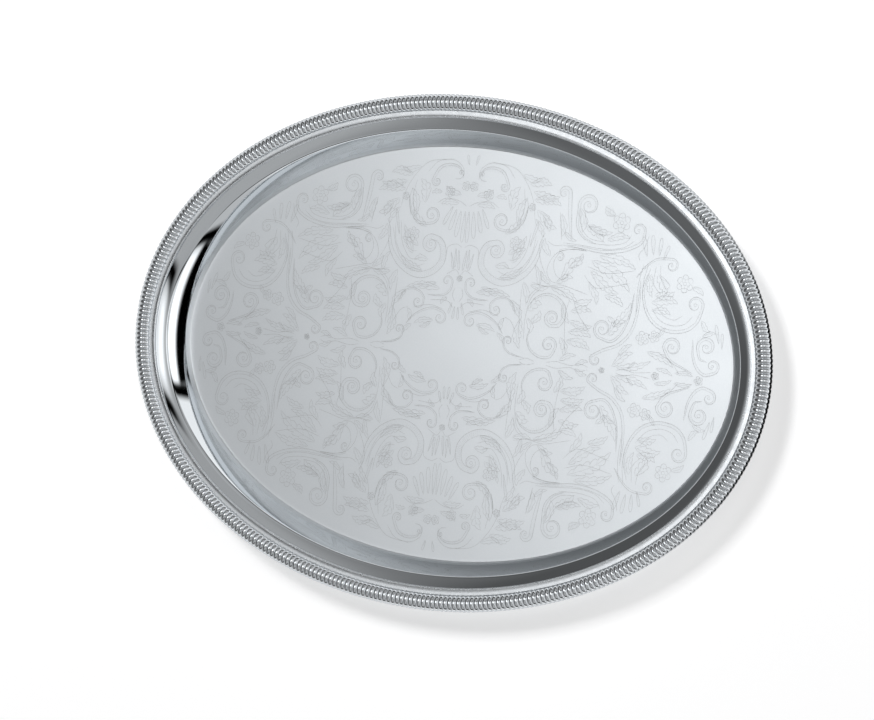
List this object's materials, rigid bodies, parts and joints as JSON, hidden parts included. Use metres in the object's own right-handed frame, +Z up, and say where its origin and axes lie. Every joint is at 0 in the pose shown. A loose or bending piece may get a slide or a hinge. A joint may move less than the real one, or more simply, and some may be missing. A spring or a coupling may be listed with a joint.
{
  "type": "serving tray",
  "caption": "Oval metal serving tray with a shallow well, an engraved satin floor, a polished sloping wall and a raised fluted border.",
  "frame": {"origin": "centre of the flat underside, with the tray lying on it", "axes": "+X along the length, +Y along the width, +Z up out of the well"},
  "size_m": [0.5588, 0.4064, 0.0271],
  "materials": {
    "polished_chrome": "mirror-polished wall, satin engraved floor",
    "fluted_chrome": "bright, with darker hollows between the flutes",
    "plain_steel": "plain drawn wire"
  },
  "bodies": {
    "root": {"tray_pan": "polished_chrome", "fluted_border": "fluted_chrome", "rim_wire": "plain_steel"}
  },
  "joints": []
}
